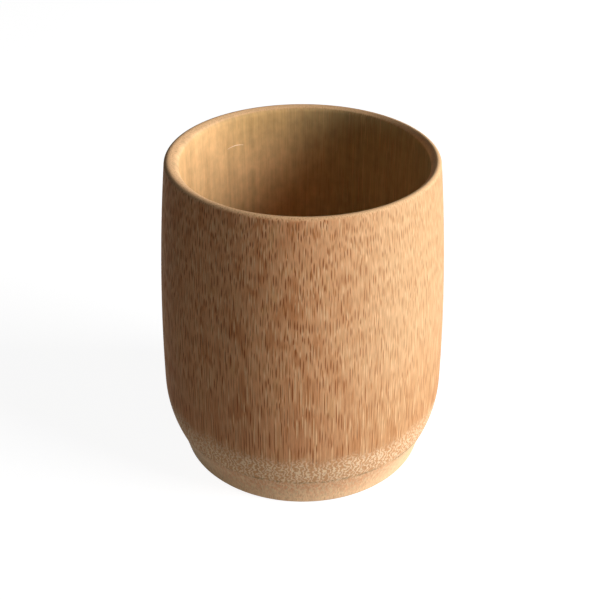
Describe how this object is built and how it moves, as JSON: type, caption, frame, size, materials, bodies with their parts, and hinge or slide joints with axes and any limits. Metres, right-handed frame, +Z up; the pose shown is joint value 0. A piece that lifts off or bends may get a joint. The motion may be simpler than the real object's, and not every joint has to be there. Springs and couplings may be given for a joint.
{
  "type": "cup",
  "caption": "Handleless turned bamboo cup: rounded belly on a small foot ring, soft bevelled lip, floor formed by the culm's own node.",
  "frame": {"origin": "centre of the foot ring's resting plane, on the axis of turning", "axes": "+Z up along the axis of turning, from the foot to the lip; the cup is round, and -Y faces the viewer of the picture"},
  "size_m": [0.08, 0.08, 0.09],
  "materials": {
    "bamboo_wall": "turned and sanded, bare",
    "bamboo_diaphragm": "turned, bare"
  },
  "bodies": {
    "root": {"culm_wall": "bamboo_wall", "node_diaphragm": "bamboo_diaphragm"}
  },
  "joints": []
}
